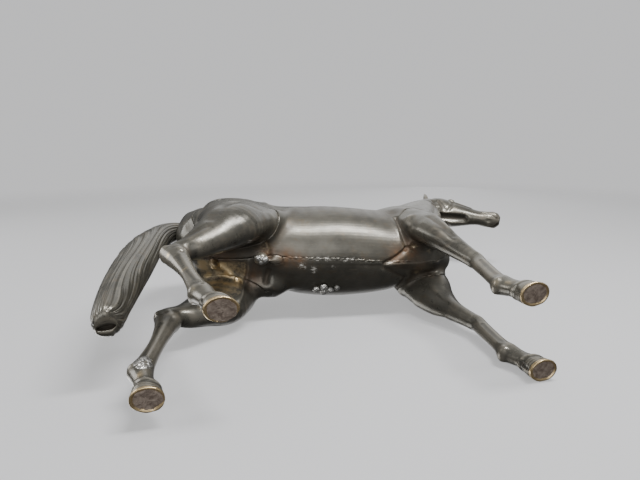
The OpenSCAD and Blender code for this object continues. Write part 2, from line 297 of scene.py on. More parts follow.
class Clay:
    """A box of voxels that holds one piece and what it blends into."""

    def __init__(self, low, high, voxel):
        self.voxel = voxel
        self.low = np.array(low, float)
        self.shape = tuple(int(math.ceil((h - l) / voxel)) + 1 for l, h in zip(low, high))
        axes = [self.low[i] + voxel * np.arange(self.shape[i]) for i in range(3)]
        self.x = axes[0][:, None, None]
        self.y = axes[1][None, :, None]
        self.z = axes[2][None, None, :]
        self.value = None

    def solid(self, points, triangles):
        """Signed distance to a closed surface."""
        local = (points - self.low).astype(np.float32)
        grid = vdb.FloatGrid.createLevelSetFromPolygons(
            local, triangles=triangles.astype(np.uint32),
            transform=vdb.createLinearTransform(voxelSize=self.voxel),
            halfWidth=BAND / self.voxel)
        out = np.empty(self.shape, np.float32)
        grid.copyToArray(out)
        return out

    def ball(self, centre, radii, turn=0.0):
        """Rough distance to an ellipsoid, turned in the XZ plane."""
        dx, dy, dz = self.x - centre[0], self.y - centre[1], self.z - centre[2]
        c, s = math.cos(math.radians(turn)), math.sin(math.radians(turn))
        u, w = dx * c + dz * s, -dx * s + dz * c
        q = np.sqrt((u / radii[0])**2 + (dy / radii[1])**2 + (w / radii[2])**2)
        return ((q - 1) * min(radii)).astype(np.float32)

    def rod(self, a, b, radius):
        """Distance to a round-ended rod from a to b."""
        a, d = np.array(a, float), np.array(b, float) - np.array(a, float)
        t = ((self.x - a[0]) * d[0] + (self.y - a[1]) * d[1] + (self.z - a[2]) * d[2]) / (d @ d)
        t = np.clip(t, 0, 1)
        away = np.sqrt((self.x - a[0] - t * d[0])**2 + (self.y - a[1] - t * d[1])**2
                       + (self.z - a[2] - t * d[2])**2)
        return (away - radius).astype(np.float32)

    def raise_by(self, height, shape):
        self.value -= (height * shape).astype(np.float32)

    def stretch(self, axis, places, margin):
        """The slice of voxels along an axis that a stroke through these places can reach."""
        first = (min(places) - margin - self.low[axis]) / self.voxel
        last = (max(places) + margin - self.low[axis]) / self.voxel
        return slice(max(int(first), 0), max(int(last) + 2, 0))

    def stroke(self, axes, points, width, height, fade):
        """A soft ridge or groove along a line drawn on two axes; fade is its strength on the third."""
        line = spline_2d(points)
        where = [slice(None)] * 3
        for axis, places in zip(axes, line.T):
            where[axis] = self.stretch(axis, places, 3 * width)
        grids = [self.x, self.y, self.z]
        part = [g[tuple(w if g.shape[i] > 1 else slice(None) for i, w in enumerate(where))] for g in grids]
        if min(p.size for p in part) == 0:
            return
        u, v = part[axes[0]], part[axes[1]]
        away = distance_to_line(u, v, line)
        self.value[tuple(where)] -= (height * np.exp(-(away / width)**2) * fade(*part)).astype(np.float32)

    def side_stroke(self, side, points, width, height, inner=6, fade=12):
        """A stroke on one flank: points are (x, z)."""
        self.stroke((0, 2), points, width, height, lambda x, y, z: ramp(y * side, inner, inner + fade))

    def under_stroke(self, points, width, height, top=262, fade=14):
        """A stroke on the underside: points are (x, y)."""
        self.stroke((0, 1), points, width, height, lambda x, y, z: ramp(-z, -top, -top + fade))

    def top_stroke(self, points, width, height, bottom=370, fade=14):
        """A stroke on the back: points are (x, y)."""
        self.stroke((0, 1), points, width, height, lambda x, y, z: ramp(z, bottom, bottom + fade))

    def end_stroke(self, points, width, height, start, fade=14, front=True):
        """A stroke on the breast or the rump: points are (y, z)."""
        sign = 1 if front else -1
        self.stroke((1, 2), points, width, height,
                    lambda x, y, z: ramp(sign * x, sign * start, sign * start + fade))

    def mesh(self):
        """Points, triangles and quads of the surface where the field is nothing."""
        grid = vdb.FloatGrid(BAND)
        grid.transform = vdb.createLinearTransform(voxelSize=self.voxel)
        grid.copyFromArray(np.clip(self.value, -BAND, BAND).astype(np.float32))
        points, triangles, quads = grid.convertToPolygons(isovalue=0.0, adaptivity=0.0)
        return np.array(points) + self.low, np.array(triangles), np.array(quads)

    def sample(self, field, points):
        """Field value at points, by trilinear reading."""
        p = np.clip((points - self.low) / self.voxel, 0, np.array(self.shape) - 1.001)
        i = p.astype(int)
        f = p - i
        out = np.zeros(len(points))
        for corner in range(8):
            step = np.array([corner & 1, corner >> 1 & 1, corner >> 2 & 1])
            w = np.prod(np.where(step, f, 1 - f), axis=1)
            j = i + step
            out += w * field[j[:, 0], j[:, 1], j[:, 2]]
        return out


# ------------------------------ the sculpted horse ------------------------------
FORMS = {"body": loft(BODY_ROWS, sides=96), "neck": loft(NECK_ROWS), "head": loft(HEAD_ROWS),
         "tail": loft(TAIL_ROWS)}
FORMS.update({name: loft(rows) for name, rows in LEG_ROWS.items()})
# How far each form melts into the body, in millimetres
BLENDS = {
    "neck": 18, "head": 10, "tail": 4, "sheath": 5, "groin_boss": 2,
    "hindleg_left": 16, "hindleg_right": 16, "foreleg_left": 13, "foreleg_right": 13,
}


# How far the file smooths the inner thighs
FILED = 4.0
# Small casting pits: x, y, z, radius
PITS = [(-136, -46, 175, 2.2), (-194, -52, 133, 2.0), (-172, -50, 47, 1.8), (-60, -22, 226, 1.6)]


def groin_panel(x, y, z):
    """The sunken place behind the belly, between the midline and the left thigh."""
    across = ramp(y, -3, 3) * ramp(-y, -44, -28)
    front = -117 - 0.010 * (y - 8)**2
    return across * ramp(front - x, -1.5, 3) * ramp(x, -190, -172) * ramp(-z, -266, -246)


def file_groin(clay):
    """The inner sides of the thighs are filed smooth before anything is drawn on them."""
    place = ramp(-clay.x, 108, 122) * ramp(clay.x, -214, -196) * ramp(-np.abs(clay.y), -48, -36)
    place = place * ramp(-clay.z, -280, -262)
    filed = box_blur(clay.value, round(FILED / clay.voxel))
    clay.value += (place * (filed - clay.value)).astype(np.float32)


def sculpt_body(clay):
    file_groin(clay)
    for side in (RIGHT, LEFT):
        def flank(points, width, height, **how):
            clay.side_stroke(side, points, width, height, **how)

        # shoulder, arm and elbow
        flank([(112, 404), (150, 368), (180, 328)], 7, -2.4)
        flank([(122, 392), (148, 345), (166, 308)], 10, 2.2)
        flank([(94, 385), (104, 335), (100, 285)], 10, -1.1)
        flank([(112, 300), (126, 266)], 18, 3.5)
        flank([(178, 297)], 13, 3.0)
        flank([(106, 238)], 8, 3.0)
        flank([(97, 262), (96, 240), (98, 222)], 3.4, -3.2 if side == RIGHT else -2.2)
        # ribs and flank
        for rib in range(7):
            x = 78 - 19 * rib
            flank([(x + 8, 352), (x, 305), (x - 2, 262)], 7, 0.25, inner=20)
        flank([(-72, 326), (-68, 292)], 18, -4.0, inner=14)
        flank([(-50, 300), (-68, 266), (-84, 240)], 9, 1.4, inner=14)
        # croup, hip and buttock
        flank([(-80, 370)], 11, 4.0)
        flank([(-120, 374), (-152, 350)], 24, 3.5)
        flank([(-181, 374), (-171, 322), (-173, 268)], 5.5, -2.4, inner=16)
        flank([(-196, 330), (-196, 300)], 12, 3.0)
        flank([(-100, 345), (-92, 300), (-86, 276)], 9, -1.4, inner=40)
        # back muscles beside the spine
        clay.top_stroke([(-165, side * 13), (-60, side * 14), (70, side * 12)], 10, 1.6)
    clay.top_stroke([(-178, 0), (-60, 0), (40, 0)], 4, -1.6)
    clay.end_stroke([(0, 322), (0, 262), (0, 235)], 5, -4.0, start=165)
    clay.end_stroke([(21, 283), (18, 250)], 11, 3.5, start=150)
    clay.end_stroke([(-21, 283), (-18, 250)], 11, 3.5, start=150)
    clay.end_stroke([(0, 372), (0, 300)], 6, -4.0, start=-190, front=False)
    # underside: the breast between the forelegs, the groin and the step along the belly seam
    clay.under_stroke([(66, -2), (82, -9), (97, -18), (108, -21)], 2.6, -3.0)
    clay.under_stroke([(66, 4), (84, 14), (100, 22)], 3.5, -1.6)
    clay.under_stroke([(112, -15), (138, -13)], 9, -4.0)
    clay.under_stroke([(116, 18), (140, 20)], 8, -3.5)
    clay.under_stroke([(70, 0), (150, 2)], 4, 1.6)
    clay.under_stroke([(-151, 9), (-140, 16), (-128, 28)], 4, 1.6)
    clay.under_stroke([(-92, -26), (-89, -10)], 4, -2.4)
    clay.under_stroke([(-92, 28), (-89, 12)], 4, -2.0)
    step = ramp(-clay.y, -0.8, 0.8) * ramp(-clay.z, -262, -256)
    reach = ramp(clay.x, -88, -78) * ramp(-clay.x, -150, -142) * (0.25 + 0.75 * ramp(clay.x, 20, 50))
    clay.raise_by(0.6, step * reach * np.exp(-(clay.y / 22)**2))
    clay.raise_by(-1.1, groin_panel(clay.x, clay.y, clay.z))
    clay.under_stroke([(-115, -2), (-115, 14), (-119, 28), (-130, 40)], 3.2, 0.9)
    for x, y, z, radius in PITS:
        pit = np.sqrt((clay.x - x)**2 + (clay.y - y)**2 + (clay.z - z)**2)
        clay.raise_by(-1.6, np.exp(-(pit / radius)**2))


def sculpt_leg(clay, name):
    upper, middle, fetlock, sole = LEGS[name]
    side = LEFT if upper[1] > 0 else RIGHT
    hind = name.startswith("hind")

    def mark(points, width, height, **how):
        clay.side_stroke(side, points, width, height, **dict({"inner": 8, "fade": 10}, **how))

    if hind:
        x, z = upper[0], upper[2]
        mark([(x + 6, z + 24)], 14, 2.6, inner=40, fade=24)
        mark([(x - 30, z + 60), (x - 45, z + 15), (x - 60, z - 12)], 8, -1.8, inner=62)
        mark([(x - 12, z + 70), (x - 20, z + 20)], 14, 2.0, inner=52)
        gaskin_groove = [(middle[0] + 34, middle[2] + 34), (middle[0] + 8, middle[2] + 22)]
        mark(gaskin_groove, 5, -1.8, inner=abs(middle[1]))
        mark([(middle[0] - 15, middle[2] + 9)], 6, 2.6)
        mark([(middle[0] + 6, middle[2] - 4)], 5, 1.6, inner=20)
        mark([(middle[0] - 4, middle[2] + 2)], 4, -1.4, inner=20)
    else:
        x, z = upper[0], upper[2]
        outer = abs(upper[1]) - 6
        mark([(x + 16, z + 18), (x + 12, z - 30)], 8, 1.8, inner=outer)
        mark([(x + 2, z + 4), (x + 10, z - 50)], 5, -1.6, inner=outer)
        mark([(x - 14, z - 8), (x + 4, z - 50)], 7, 1.2, inner=outer)
        mark([(middle[0] + 4, middle[2] + 5)], 7, 0.5)
        mark([(middle[0] - 8, middle[2] + 4)], 5, 0.7)
        mark([(middle[0] - 1, middle[2] - 10)], 5, -0.4)
    # tendons behind the cannon, and the fetlock's point
    low, high = between(middle, fetlock, 0.22), between(middle, fetlock, 0.85)
    mark([(low[0] - 3.4, low[2]), (high[0] - 3.2, high[2])], 2.6, -0.8, inner=3, fade=4)
    mark([(fetlock[0] - 11, fetlock[2] - 3)], 5, 2.2, inner=2, fade=3)
    mark([(fetlock[0] + 1, fetlock[2])], 7, 0.8)
    # the coronet stands proud over the hoof, and the wall has faint growth rings
    crown = between(fetlock, sole, 0.62)
    slope = clay.z + 0.28 * (clay.x - crown[0])
    near = ramp(-np.hypot(clay.x - sole[0], clay.y - sole[1]), -30, -20)
    clay.raise_by(0.9, np.exp(-((slope - crown[2]) / 2.2)**2) * near)
    clay.raise_by(-0.5, np.exp(-((slope - crown[2] + 4.5) / 1.6)**2) * near)
    clay.raise_by(0.16, np.sin(slope * 1.9) * ramp(-slope, -crown[2] + 4, -crown[2] + 8) * near)
    heel = np.hypot(clay.x - sole[0] + 16, (clay.y - sole[1]) * 2.2)
    clay.raise_by(-1.4, np.exp(-(heel / 5.5)**2) * ramp(-clay.z, -26, -18) * ramp(clay.z, 3, 8))
    clay.raise_by(-0.75, np.exp(-((clay.z - 4.6) / 0.8)**2) * near)
    clay.raise_by(-0.35, np.exp(-((clay.z - 7.4) / 0.7)**2) * near)


HEAD_BASE = np.array([250.0, 518.0])
HEAD_ALONG = np.array([math.sin(math.radians(HEAD_TILT)), -math.cos(math.radians(HEAD_TILT))])
HEAD_UP = np.array([math.cos(math.radians(HEAD_TILT)), math.sin(math.radians(HEAD_TILT))])
HEAD_Y = 1.5


def on_head(along, up):
    """XZ place of a point on the head, given along it from the poll and up to the forehead."""
    return tuple(HEAD_BASE + along * HEAD_ALONG + up * HEAD_UP)


def head_point(along, up, y):
    x, z = on_head(along, up)
    return (x, HEAD_Y + y, z)


def sculpt_head(clay):
    for side in (RIGHT, LEFT):
        def mark(points, width, height, **how):
            line = [on_head(*p) for p in points]
            clay.side_stroke(side, line, width, height, **dict({"inner": 5, "fade": 8}, **how))

        mark([(40, -10)], 17, 2.2)
        mark([(18, -30), (36, -38), (58, -34), (66, -18), (62, -4)], 3.2, -1.6)
        mark([(60, -3), (78, 0), (98, 4)], 3.0, 1.5)
        mark([(50, 20), (62, 19)], 4.5, 2.6)
        mark([(38, 20)], 5.5, -2.4)
        mark([(57, 11)], 6.5, -3.2)
        mark([(80, 14), (104, 12), (126, 11)], 4.5, -1.5)
        mark([(104, -6), (120, -5)], 6, -0.8)
        mark([(142, 9)], 8, 1.8, inner=3)
        mark([(154, -4), (143, -5.5), (130, -4), (122, -5)], 1.3, -1.7, inner=2, fade=3)
        mark([(146, -1)], 5, 0.9, inner=3)
        mark([(136, -10)], 6, 1.0, inner=1, fade=4)
        mark([(20, 10), (22, -12)], 4, -1.5)
        # eyeball with its lids, then the nostril
        eye = head_point(57.5, 11, side * 18.6)
        clay.value = soft_union(clay.value, clay.ball(eye, (4.9, 4.4, 4.3)), 0.8)
        lid = np.abs(clay.ball(eye, (7.6, 7.0, 5.6), -HEAD_TILT + 12)) - 0.75
        out = ramp(clay.y * side - HEAD_Y * side, 15, 18)
        clay.value = np.where(out > 0.5, soft_union(clay.value, lid, 1.2), clay.value)
        nostril = clay.ball(head_point(144.5, 8.5, side * 12.5), (3.6, 4.0, 2.3), 30)
        clay.value = soft_cut(clay.value, nostril, 1.6)
    # the hollow between the jaw bones, open underneath
    jaw = clay.rod(head_point(26, -45, 0), head_point(92, -24, 0), 8.0)
    clay.value = soft_cut(clay.value, jaw, 5.0)
    # forelock and a flat forehead
    clay.side_stroke(LEFT, [on_head(20, 33), on_head(36, 33)], 6, 0.6, inner=-4, fade=6)


MANE_LOCKS = 11
MANE_CREST = [(110, 422), (142, 457), (176, 490), (208, 515), (238, 529)]


def sculpt_neck(clay):
    for side in (RIGHT, LEFT):
        groove = [(186, 330), (214, 384), (240, 436), (258, 476)]
        clay.side_stroke(side, groove, 6, -2.2, inner=6, fade=10)
        clay.side_stroke(side, [(168, 392), (206, 440), (238, 484)], 12, 1.6, inner=8)
        clay.side_stroke(side, [(128, 440), (170, 468), (214, 502)], 5, -1.2, inner=4, fade=8)
        clay.side_stroke(side, [(268, 478), (276, 452)], 4, -2.2, inner=6, fade=8)
    # the mane falls over the left side in thick wavy locks
    for lock in range(MANE_LOCKS):
        share = lock / (MANE_LOCKS - 1) * (len(MANE_CREST) - 1)
        x, z = [np.interp(share, range(len(MANE_CREST)), places) for places in zip(*MANE_CREST)]
        reach = 34 + 10 * math.sin(2.3 * lock)
        wave = ((-4, -8), (6, 0.4 * reach), (2, 0.8 * reach), (14, 1.2 * reach))
        line = [(x + forward, z - down) for forward, down in wave]
        clay.side_stroke(LEFT, line, 5.5, 2.6, inner=2, fade=6)
        parting = [(px + 7, pz) for px, pz in line[:3]]
        clay.side_stroke(LEFT, parting, 1.8, -2.0, inner=2, fade=6)


# The loose skin between belly and stifle, and the muscle before the left foreleg: middle and radii
SOFT_FOLDS = [
    ((-92, 38, 250), (30, 17, 20)),
    ((-88, -52, 264), (17, 11, 28)),
    ((-94, -40, 247), (11, 14, 12)),
    ((150, 36, 221), (19, 15, 34)),
]


def drawn_form(clay, name):
    """Distance to one of the small forms under the belly."""
    if name == "sheath":
        front = clay.ball((-99, -8, 224), (10.5, 8.6, 8.6))
        back = clay.ball((-80, -4, 230), (9.0, 5.6, 5.0))
        return soft_union(front, back, 6)
    away = np.hypot(clay.x + 160, clay.y - 4)
    boss = np.maximum(np.maximum(away - 6.4, 222.5 - clay.z), clay.z - 252)
    lip = np.hypot(away - 5.9, clay.z - 224.4) - 1.5
    bore = np.maximum(away - 3.5, clay.z - 228)
    return soft_cut(soft_union(boss, lip, 1.5), bore, 0.8).astype(np.float32)


def build_clay(low, high, voxel, forms, legs=()):
    """Clay with these forms blended and marked, and each form's own distance before the blend."""
    clay = Clay(low, high, voxel)
    own = {name: clay.solid(*FORMS[name]) if name in FORMS else drawn_form(clay, name) for name in forms}
    clay.value = own[forms[0]].copy()
    for name in forms[1:]:
        clay.value = soft_union(clay.value, own[name], BLENDS.get(name, 10))
    for centre, radii in SOFT_FOLDS:
        clay.value = soft_union(clay.value, clay.ball(centre, radii, -20), 14)
    sculpt_body(clay)
    sculpt_neck(clay)
    for name in legs:
        sculpt_leg(clay, name)
    if "head" in forms:
        sculpt_head(clay)
    return clay, own


# ------------------------------ from clay to pieces ------------------------------
def smooth_noise(points, scale, seed):
    """Smooth noise, about -1 to 1, as a sum of turned sine waves."""
    maker = np.random.default_rng(seed)
    total = np.zeros(len(points))
    for _ in range(7):
        way = maker.normal(size=3)
        way *= (0.7 + 0.6 * maker.random()) / (scale * np.linalg.norm(way))
        total += np.sin(2 * math.pi * (points @ way) + maker.random() * 2 * math.pi)
    return total / 3.2


def box_blur(field, radius):
    """Mean over a cube of voxels, by running sums along each axis."""
    out = field
    width = 2 * radius + 1
    for axis in range(3):
        pad = [(0, 0)] * 3
        pad[axis] = (radius + 1, radius)
        sums = np.cumsum(np.pad(out, pad, mode="edge"), axis=axis, dtype=np.float64)
        n = out.shape[axis]
        upper = np.take(sums, np.arange(width, n + width), axis=axis)
        lower = np.take(sums, np.arange(0, n), axis=axis)
        out = ((upper - lower) / width).astype(np.float32)
    return out


def relief_of(clay, reach):
    """How far the surface stands above what is round it: more than nothing on ridges and edges."""
    return box_blur(clay.value, max(int(round(reach / clay.voxel)), 1)) - clay.value


def gradient_at(clay, field, points):
    """Outward direction of the field at the points, for smooth normals."""
    step = clay.voxel * 0.9
    out = np.empty((len(points), 3))
    for axis in range(3):
        shift = np.zeros(3)
        shift[axis] = step
        out[:, axis] = clay.sample(field, points + shift) - clay.sample(field, points - shift)
    return out / np.maximum(np.linalg.norm(out, axis=1, keepdims=True), 1e-9)


def make_mesh(name, points, faces, values=None, normals=None):
    """A mesh object in the frame from millimetre points, with one float attribute for each value."""
    mesh = bpy.data.meshes.new(name)
    mesh.from_pydata(((points - MIDDLE) * MM).tolist(), [], faces)
    mesh.update()
    mesh.shade_smooth()
    for key, value in (values or {}).items():
        attribute = mesh.attributes.new(key, "FLOAT", "POINT")
        attribute.data.foreach_set("value", np.asarray(value, np.float32))
    if normals is not None:
        mesh.normals_split_custom_set_from_vertices(normals.tolist())
    piece = bpy.data.objects.new(name, mesh)
    bpy.context.scene.collection.objects.link(piece)
    return piece


def finish_piece(piece, nodes, material):
    """Gives a piece its finish and puts it in the place of its CAD nodes."""
    piece.data.materials.append(material)
    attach(piece, "root")
    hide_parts(*nodes)
    return piece


def cut_piece(clay, field, name, nodes, material, fine=2.0, broad=7.0):
    """The closed solid where the field is less than nothing, with its relief kept for the patina."""
    whole = clay.value
    if not hasattr(clay, "fine"):
        clay.fine, clay.broad = relief_of(clay, fine), relief_of(clay, broad)
    clay.value = field
    points, triangles, quads = clay.mesh()
    clay.value = whole
    faces = quads.tolist() + triangles.tolist()
    normals = gradient_at(clay, field, points)
    values = {"fine_relief": clay.sample(clay.fine, points) / (0.16 * fine),
              "broad_relief": clay.sample(clay.broad, points) / (0.16 * broad)}
    values.update(patina_values(points, sole=name if "leg" in name else None))
    return finish_piece(make_mesh(name, points, faces, values, normals), nodes, material)


# Which casting wins where two are equally near; the limbs run into the body
RANK = {"body": 0.0, "neck": 0.2, "head": 0.3, "tail": 0.4, "sheath": 0.5, "groin_boss": 0.6}
LIMB_RANK = 0.7


def part_of(own, name):
    """More than nothing where another casting is nearer than this one."""
    others = [own[key] - RANK.get(key, LIMB_RANK) for key in own if key != name]
    nearest = others[0]
    for other in others[1:]:
        nearest = np.minimum(nearest, other)
    return 0.5 * (own[name] - RANK.get(name, LIMB_RANK) - nearest)


def bead_field(clay, across, half_width, proud):
    """A thin weld bead: a skin over the surface, where across is near nothing."""
    return np.maximum(np.maximum(clay.value - proud, -clay.value - 1.6), np.abs(across) - half_width)


# ------------------------------ patina painted by place ------------------------------
# Marks are (x, y, z, radius, strength)
GOLD_MARKS = [
    (-92, -20, 236, 10, 0.5), (111, -20, 219, 10, 0.5), (135, -16, 221, 8, 0.45), (120, 17, 219, 10, 0.5),
    (150, 32, 226, 8, 0.45), (97, -25, 222, 6, 0.5), (-152, 8, 244, 6, 0.5), (-129, 28, 235, 6, 0.8),
    (-176, 10, 254, 9, 0.9), (-160, 4, 223, 7, 0.8), (-141, 17, 240, 5, 0.9), (-167, 23, 252, 5, 0.7),
    (125, -40, 41, 6, 0.6), (130, -46, 30, 6, 0.6), (-210, -48, 133, 6, 0.6),
    (-191, -48, 93, 5, 0.6), (-182, -47, 41, 6, 0.6), (-228, 30, 30, 7, 0.6), (352, -12, 428, 7, 0.4),
    (-279, 0, 84, 6, 0.5),
]
STAIN_MARKS = [
    (-65, -7, 228, 12, 1.0), (-50, -4, 226, 10, 0.8), (85, -12, 214, 13, 0.9), (104, -16, 218, 14, 1.0),
    (118, 4, 222, 12, 0.7), (-110, 20, 232, 14, 0.6), (-150, 0, 240, 20, 0.6), (-90, -14, 232, 10, 0.8),
]
CHALK_MARKS = [
    (-45, 4, 224, 6, 0.8), (-30, 8, 222, 6, 0.7), (-4, 3, 217, 4, 0.5), (40, 2, 215, 5, 0.4),
    (-24, -7, 219, 4, 0.9), (-12, -7, 218, 4, 0.8), (12, -7, 216, 4, 0.9), (22, -6.5, 216, 4, 0.8),
    (34, -6, 216, 3, 0.6), (52, -5, 216, 4, 0.7),
]


def painted(points, marks, seed, grain):
    """How strongly the round marks cover each point, with ragged edges."""
    total = np.zeros(len(points))
    for x, y, z, radius, strength in marks:
        away = np.linalg.norm(points - (x, y, z), axis=1)
        total = np.maximum(total, strength * np.exp(-(away / radius)**2))
    return np.clip(total * (1 + 0.3 * smooth_noise(points, grain, seed)), 0, 1)


def patina_values(points, sole=None):
    """Where the metal is bare, stained and scuffed; a leg's own rim is bare too."""
    gold = painted(points, GOLD_MARKS, 3, 9.0)
    panel = groin_panel(*points.T) * (0.58 + 0.12 * smooth_noise(points, 14, 9))
    gold = np.maximum(gold + panel, 0)
    # the seam is chased bright under the belly
    from_seam = points[:, 1] - seam_y(points[:, 0], points[:, 2])
    chased = np.exp(-(from_seam / 2.0)**2) * ramp(-points[:, 2], -262, -250)
    gold = np.maximum(gold, 0.24 * chased)
    if sole is not None:
        gold = np.maximum(gold, ramp(-points[:, 2], -4.6 - 0.8 * smooth_noise(points, 9, 8), -2.6))
    return {"gold": gold, "stain": painted(points, STAIN_MARKS, 5, 8.0),
            "chalk": painted(points, CHALK_MARKS, 7, 2.5)}


# ------------------------------ materials ------------------------------
class Paint:
    """Short names for the shader nodes that the finishes are made of."""

    def __init__(self, name):
        self.material = bpy.data.materials.new(name)
        self.material.use_nodes = True
        self.tree = self.material.node_tree
        self.shader = self.tree.nodes["Principled BSDF"]
        self.place = self.tree.nodes.new("ShaderNodeTexCoord").outputs["Object"]

    def node(self, kind, **settings):
        node = self.tree.nodes.new(kind)
        for key, value in settings.items():
            setattr(node, key, value)
        return node

    def plug(self, value, socket):
        if isinstance(value, bpy.types.NodeSocket):
            self.tree.links.new(value, socket)
        else:
            socket.default_value = value

    def value(self, name):
        return self.node("ShaderNodeAttribute", attribute_name=name).outputs["Fac"]

    def noise(self, scale, detail=3.0, roughness=0.55, stretch=None, distortion=0.0):
        node = self.node("ShaderNodeTexNoise")
        place = self.place
        if stretch is not None:
            mapping = self.node("ShaderNodeMapping")
            mapping.inputs["Scale"].default_value = stretch
            self.plug(place, mapping.inputs["Vector"])
            place = mapping.outputs["Vector"]
        self.plug(place, node.inputs["Vector"])
        for key, value in (("Scale", scale), ("Detail", detail), ("Roughness", roughness),
                           ("Distortion", distortion)):
            node.inputs[key].default_value = value
        return node.outputs["Fac"]

    def spots(self, scale):
        node = self.node("ShaderNodeTexVoronoi")
        self.plug(self.place, node.inputs["Vector"])
        node.inputs["Scale"].default_value = scale
        return node.outputs["Distance"]

    def curve(self, value, low, high, to_low=0.0, to_high=1.0):
        node = self.node("ShaderNodeMapRange", interpolation_type="SMOOTHSTEP")
        for key, item in (("Value", value), ("From Min", low), ("From Max", high),
                          ("To Min", to_low), ("To Max", to_high)):
            self.plug(item, node.inputs[key])
        return node.outputs["Result"]

    def math(self, operation, a, b=0.0, clamp=False):
        node = self.node("ShaderNodeMath", operation=operation, use_clamp=clamp)
        self.plug(a, node.inputs[0])
        self.plug(b, node.inputs[1])
        return node.outputs["Value"]

    def mix(self, factor, a, b):
        """Colour a where the factor is nothing, b where it is one."""
        node = self.node("ShaderNodeMix", data_type="RGBA")
        sockets = [s for s in node.inputs if s.enabled]
        self.plug(factor, sockets[0])
        for value, socket in ((a, sockets[1]), (b, sockets[2])):
            self.plug(tuple(value) + (1.0,) if isinstance(value, (tuple, list)) else value, socket)
        return [s for s in node.outputs if s.enabled][0]

    def blend(self, factor, a, b):
        """Number a where the factor is nothing, b where it is one."""
        node = self.node("ShaderNodeMix", data_type="FLOAT")
        sockets = [s for s in node.inputs if s.enabled]
        for value, socket in zip((factor, a, b), sockets):
            self.plug(value, socket)
        return [s for s in node.outputs if s.enabled][0]

    def bump(self, *layers):
        """Layers are (height, strength, distance in metres), the broadest first."""
        normal = None
        for height, strength, distance in layers:
            node = self.node("ShaderNodeBump")
            node.inputs["Strength"].default_value = strength
            node.inputs["Distance"].default_value = distance
            self.plug(height, node.inputs["Height"])
            if normal is not None:
                self.plug(normal, node.inputs["Normal"])
            normal = node.outputs["Normal"]
        self.plug(normal, self.shader.inputs["Normal"])

    def finish(self, **sockets):
        for name, value in sockets.items():
            self.plug(value, self.shader.inputs[name.replace("_", " ")])
        return self.material


BROWN_MOTTLE = (0.105, 0.080, 0.052)
BROWN_HOLLOW = (0.055, 0.040, 0.026)
RUST_STAIN = (0.16, 0.080, 0.034)
THIN_GOLD, BARE_GOLD = (0.42, 0.35, 0.235), (0.62, 0.47, 0.26)
CHALK = (0.62, 0.60, 0.55)
SCRATCH = (0.22, 0.19, 0.14)


def bronze_material(name, dark, olive, worn_colour, shine):
    """Patina over cast metal: rubbed on its ridges, brown in its hollows, bare and stained in places."""
    p = Paint(name)
    cloud, mottle = p.noise(16, 4, 0.6), p.noise(75, 4, 0.65, distortion=0.6)
    speck = p.noise(520, 2, 0.6)
    colour = p.mix(p.curve(cloud, 0.35, 0.68), dark, olive)
    colour = p.mix(p.curve(mottle, 0.5, 0.72, 0, 0.55), colour, BROWN_MOTTLE)
    # edges and high places are rubbed bright, hollows keep brown
    rubbed = p.math("ADD", p.math("MULTIPLY", p.value("fine_relief"), 0.7), p.value("broad_relief"))
    rough_rub = p.math("ADD", rubbed, p.math("MULTIPLY", p.math("SUBTRACT", mottle, 0.5), 1.2))
    high = p.curve(rough_rub, 0.25, 1.3)
    stain, gold, chalk = p.value("stain"), p.value("gold"), p.value("chalk")
    bare = p.curve(gold, 0.05, 0.3, 1.0, 0.15)
    hollow = p.math("MULTIPLY", p.curve(p.math("MULTIPLY", rough_rub, -1.0), 0.2, 1.2), bare)
    colour = p.mix(p.math("MULTIPLY", high, 0.55), colour, worn_colour)
    colour = p.mix(p.math("MULTIPLY", hollow, 0.5), colour, BROWN_HOLLOW)
    colour = p.mix(p.math("MULTIPLY", stain, 0.75, clamp=True), colour, RUST_STAIN)
    flake = p.noise(260, 5, 0.75, distortion=0.4)
    patchy = p.math("ADD", gold, p.math("MULTIPLY", p.math("SUBTRACT", flake, 0.5), 1.5))
    gold_mask = p.math("MULTIPLY", p.curve(patchy, 0.25, 0.85), p.curve(gold, 0.08, 0.35))
    metal_tone = p.mix(p.curve(gold, 0.5, 1.0), THIN_GOLD, BARE_GOLD)
    colour = p.mix(gold_mask, colour, metal_tone)
    scuff = p.curve(p.noise(700, 4, 0.7, (0.22, 1.0, 1.0), 0.4), 0.5, 0.62)
    chalk_mask = p.math("MULTIPLY", p.curve(chalk, 0.15, 0.6), scuff)
    colour = p.mix(chalk_mask, colour, CHALK)
    scratch = p.curve(p.noise(60, 2, 0.5, (1.0, 9.0, 9.0), 0.3), 0.64, 0.70)
    colour = p.mix(p.math("MULTIPLY", scratch, 0.22), colour, SCRATCH)
    rough = p.blend(p.curve(mottle, 0.35, 0.7), shine, shine + 0.12)
    rough = p.blend(hollow, rough, 0.6)
    rough = p.blend(p.math("MULTIPLY", stain, 0.8, clamp=True), rough, 0.62)
    rough = p.blend(chalk_mask, rough, 0.75)
    metal = p.blend(p.math("MAXIMUM", p.math("MULTIPLY", stain, 0.7), chalk_mask), 0.55, 0.1)
    metal = p.blend(gold_mask, metal, 0.85)
    p.bump((p.noise(48, 2, 0.5), 0.25, 0.0010), (p.noise(210, 3, 0.6), 0.16, 0.0003),
           (speck, 0.16, 0.00012), (p.math("MULTIPLY", scratch, -1.0), 0.15, 0.0001))
    return p.finish(Base_Color=colour, Metallic=metal, Roughness=rough,
                    Coat_Weight=0.15, Coat_Roughness=0.22, Coat_IOR=1.45)


